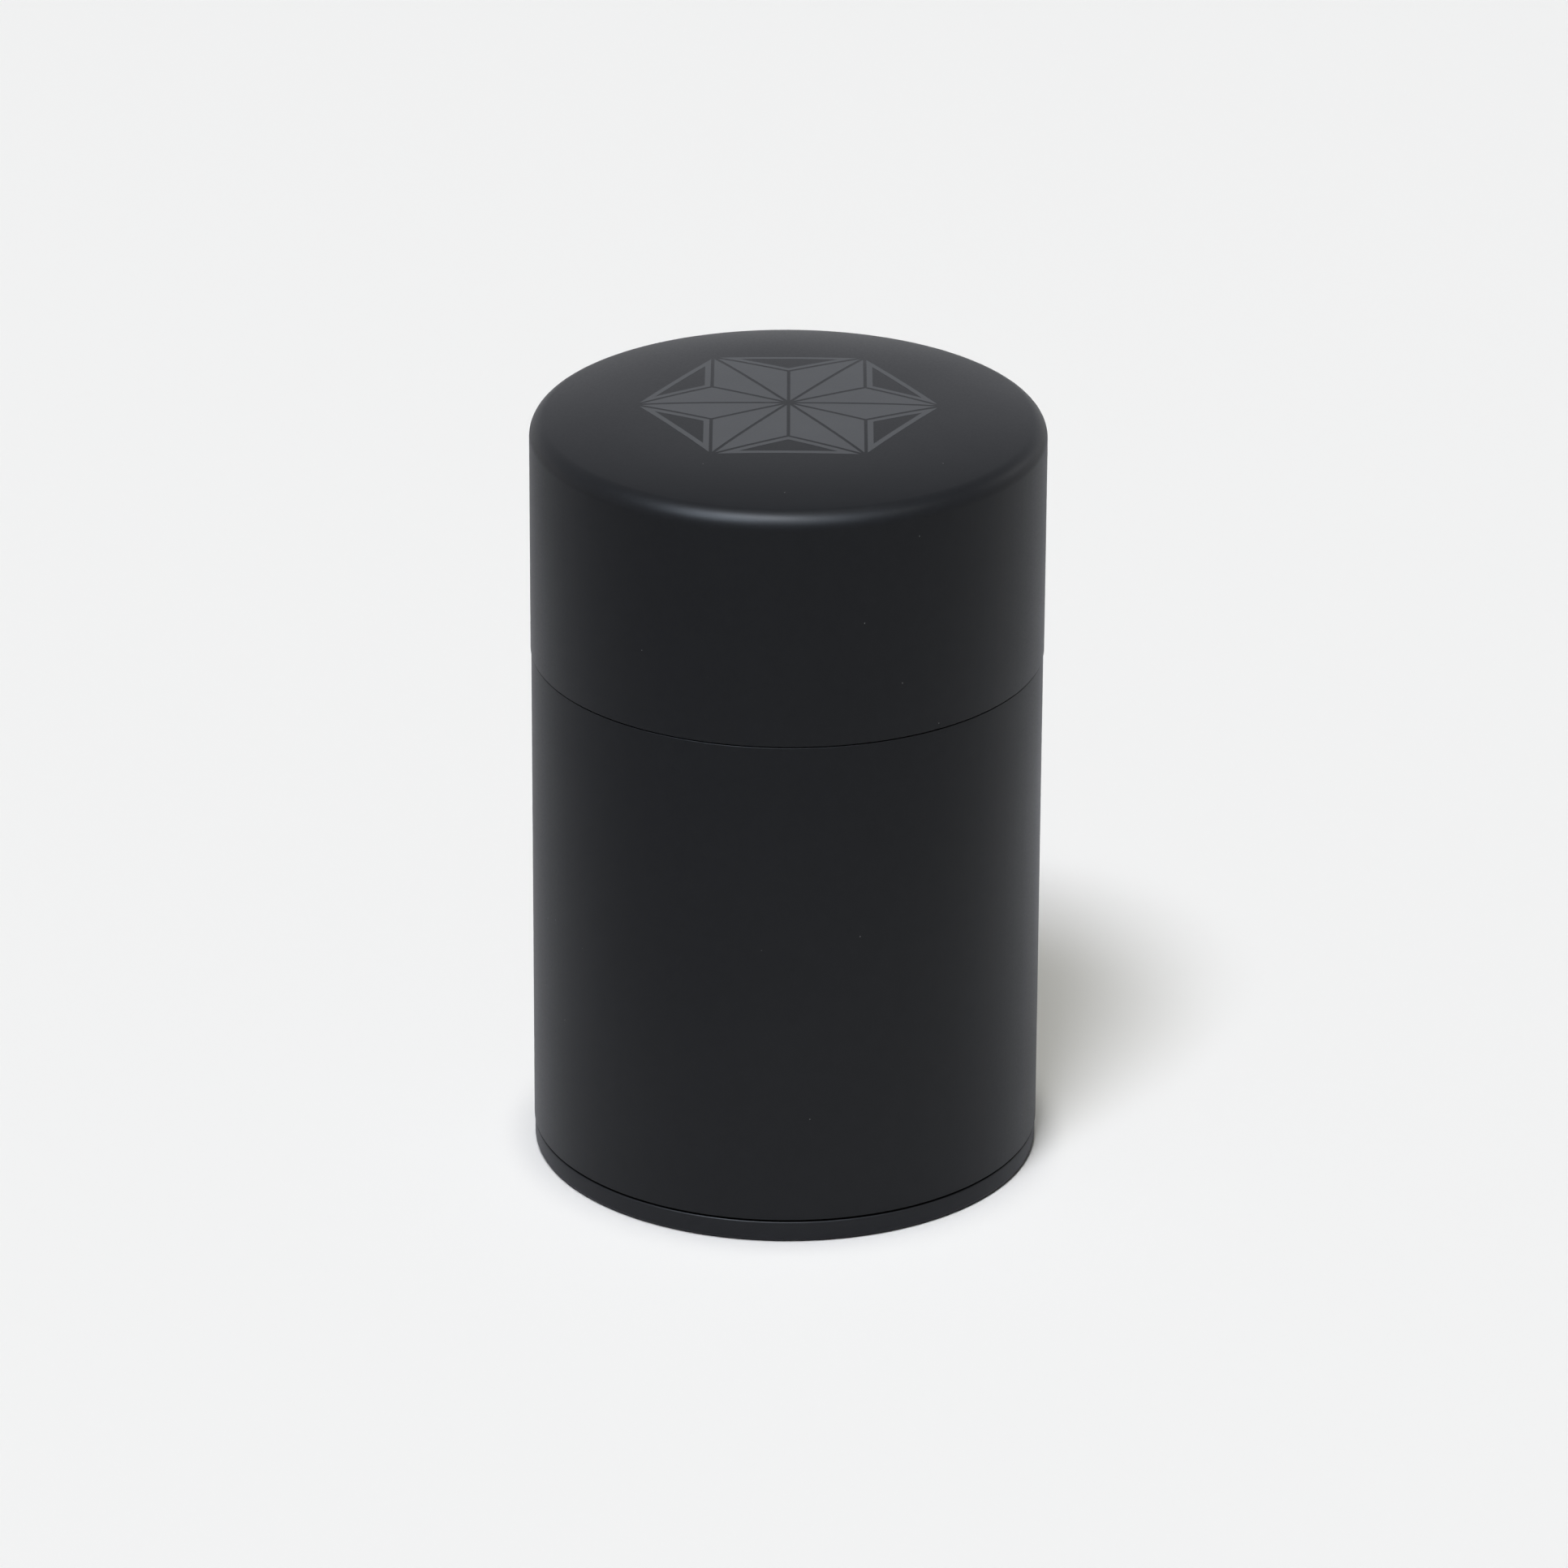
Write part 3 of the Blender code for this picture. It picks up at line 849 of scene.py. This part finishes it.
# The sky
SKY_LIGHT = 0.08
SKY_TINT = (1.02, 1.005, 0.955)
SHEEN_TINT = (0.975, 0.99, 1.045)
LOW_SHEEN = 0.88  # how bright the sky looks in reflections, low over the floor
HIGH_SHEEN = 0.57  # and high up
SHEEN_START = 0.25  # the sines of the climbs between which it darkens
SHEEN_END = 0.75

# The lamps
LAMP_DISTANCE = 24.0
LAMP_AIM = 0.08
COOL = (0.81, 0.92, 1.06)
KEY_TINT = (0.970, 0.985, 1.055)
FILL_TINT = (1.02, 1.015, 0.95)

# A soft lamp: degrees right of the front and up from the floor, size in metres, power and tint
Softbox = namedtuple("Softbox", "name turn climb size watts tint")
KEY_LAMP = Softbox("key_softbox", turn=-20, climb=65, size=(5.8, 5.8), watts=3120, tint=KEY_TINT)
MATTE_LAMPS = [
    Softbox("low_fill_softbox", turn=-13, climb=59, size=(6.0, 2.4), watts=708, tint=FILL_TINT),
    Softbox("top_fill_softbox", turn=0, climb=90, size=(2.0, 2.0), watts=1938, tint=FILL_TINT),
]
GLOSS_LAMPS = [
    Softbox("front_softbox", turn=-3, climb=54, size=(5.8, 5.8), watts=1200, tint=FILL_TINT),
    Softbox("right_softbox", turn=60, climb=45, size=(5.8, 5.8), watts=432, tint=FILL_TINT),
    Softbox("overhead_softbox", turn=0, climb=90, size=(12.0, 12.0), watts=640, tint=FILL_TINT),
    Softbox("back_right_softbox", turn=120, climb=20, size=(7.6, 7.6), watts=300, tint=WHITE),
    Softbox("gloss_softbox", turn=-35, climb=50, size=(12.0, 16.0), watts=10600, tint=COOL),
    Softbox("side_gloss_softbox", turn=16, climb=50, size=(12.0, 16.0), watts=3920, tint=COOL),
]

# The camera
CAMERA_DISTANCE = 1.2297
CAMERA_HEIGHT = 0.5988
CAMERA_PITCH = math.radians(23.765)
CAMERA_ROLL = math.radians(0.284)
CAMERA_YAW = math.radians(0.0182)
CAMERA_LENS = 207.0
CAMERA_SENSOR = 36


# The room

def light_path(tree):
    return tree.nodes.new("ShaderNodeLightPath").outputs


def distance_from(tree, place, centre):
    reach = tree.nodes.new("ShaderNodeVectorMath")
    reach.operation = "DISTANCE"
    tree.links.new(place, reach.inputs[0])
    reach.inputs[1].default_value = centre
    return reach.outputs["Value"]


def shade_reflection(tree, shader, place):
    """Paints light and shade into the floor's colour as gloss and metal see it: a painted shadow behind
    the canister, painted dimming further out, and a painted brighter patch at the front right.
    """
    glossy = light_path(tree)["Is Glossy Ray"]
    parts = parts_of(tree, place)
    front_right = combine(tree, "SUBTRACT", parts["X"], parts["Y"])
    bright = spread(tree, front_right, 0, 1, BRIGHT_START, BRIGHT_END)
    bright = combine(tree, "MULTIPLY", bright, glossy)
    colour = tint(tree, glossy, CARD, CARD_SHEEN)
    colour = tint(tree, bright, colour, BRIGHT_SHEEN)
    far = distance_from(tree, place, DIM_CENTRE)
    dim = spread(tree, far, 0, DIM_SHARE, DIM_START, DIM_END)
    near = distance_from(tree, place, SHADE_CENTRE)
    shade = spread(tree, near, SHADE_SHARE, 0, SHADE_START, SHADE_END)
    dim = combine(tree, "MULTIPLY", combine(tree, "MAXIMUM", dim, shade), glossy)
    colour = tint(tree, dim, colour, BLACK)
    tree.links.new(colour, shader.inputs["Base Color"])


def fade_card(card, tree, shader, place):
    """Lets the floor look like the plain background further out, so that no view shows its end."""
    ray = light_path(tree)
    seen = combine(tree, "MAXIMUM", ray["Is Camera Ray"], ray["Is Glossy Ray"])
    seen = combine(tree, "MAXIMUM", seen, ray["Is Transmission Ray"])
    far = spread(tree, distance_from(tree, place, CENTRE), 0, 1, FADE_START, FADE_END)
    plain = tree.nodes.new("ShaderNodeEmission")
    plain.inputs["Strength"].default_value = BACKGROUND
    mix = tree.nodes.new("ShaderNodeMixShader")
    tree.links.new(combine(tree, "MULTIPLY", seen, far), mix.inputs["Fac"])
    tree.links.new(shader.outputs["BSDF"], mix.inputs[1])
    tree.links.new(plain.outputs["Emission"], mix.inputs[2])
    tree.links.new(mix.outputs["Shader"], tree.nodes["Material Output"].inputs["Surface"])
    card.cycles.emission_sampling = "NONE"


def lay_floor():
    bpy.ops.object.select_all(action="DESELECT")
    bpy.ops.mesh.primitive_plane_add(size=2 * FLOOR_REACH)
    floor = bpy.context.object
    floor.name = "floor"
    card, tree, shader, place = start_finish("floor_card", CARD, 1)
    shader.inputs["Specular IOR Level"].default_value = 0
    shade_reflection(tree, shader, place)
    fade_card(card, tree, shader, place)
    floor.data.materials.append(card)


def set_sky():
    """A faint sky that looks as pale as the floor to the camera, and darker higher up in gloss."""
    sky = bpy.data.worlds.new("studio")
    bpy.context.scene.world = sky
    sky.use_nodes = True
    tree = sky.node_tree
    ray = light_path(tree)
    seen = combine(tree, "MAXIMUM", ray["Is Camera Ray"], ray["Is Transmission Ray"])
    plain = spread(tree, seen, SKY_LIGHT, BACKGROUND, 0, 1)
    direction = tree.nodes.new("ShaderNodeTexCoord").outputs["Generated"]
    climb = parts_of(tree, direction)["Z"]
    sheen = spread(tree, climb, LOW_SHEEN, HIGH_SHEEN, SHEEN_START, SHEEN_END)
    sheen = combine(tree, "MULTIPLY", sheen, ray["Is Glossy Ray"])
    strength = combine(tree, "MAXIMUM", plain, sheen)
    tree.links.new(strength, tree.nodes["Background"].inputs["Strength"])
    colour = tint(tree, ray["Is Glossy Ray"], SKY_TINT, SHEEN_TINT)
    colour = tint(tree, ray["Is Camera Ray"], colour, WHITE)
    tree.links.new(colour, tree.nodes["Background"].inputs["Color"])


def hang(softbox):
    """Hangs a soft lamp that faces the canister and stays out of the camera's sight."""
    turn = math.radians(softbox.turn)
    climb = math.radians(softbox.climb)
    flat = math.cos(climb)
    away = Vector((flat * math.sin(turn), -flat * math.cos(turn), math.sin(climb)))
    lamp = bpy.data.lights.new(softbox.name, "AREA")
    lamp.shape = "RECTANGLE"
    lamp.size, lamp.size_y = softbox.size
    lamp.energy = softbox.watts
    lamp.color = softbox.tint
    box = bpy.data.objects.new(softbox.name, lamp)
    bpy.context.collection.objects.link(box)
    box.location = LAMP_DISTANCE * away + Vector((0, 0, LAMP_AIM))
    box.rotation_euler = away.to_track_quat("Z", "Y").to_euler()
    box.visible_camera = False
    return box


def set_camera():
    lens = bpy.data.cameras.new("camera")
    lens.lens = CAMERA_LENS
    lens.sensor_width = CAMERA_SENSOR
    camera = bpy.data.objects.new("camera", lens)
    bpy.context.collection.objects.link(camera)
    turn = (
        Matrix.Rotation(CAMERA_YAW, 4, "Z")
        @ Matrix.Rotation(math.pi / 2 - CAMERA_PITCH, 4, "X")
        @ Matrix.Rotation(CAMERA_ROLL, 4, "Z")
    )
    camera.matrix_world = Matrix.Translation((0, -CAMERA_DISTANCE, CAMERA_HEIGHT)) @ turn
    bpy.context.scene.camera = camera


lay_floor()
set_sky()
hang(KEY_LAMP)
for softbox in MATTE_LAMPS:
    hang(softbox).visible_glossy = False
for softbox in GLOSS_LAMPS:
    hang(softbox).visible_diffuse = False
set_camera()

bpy.context.scene.view_settings.view_transform = "Standard"
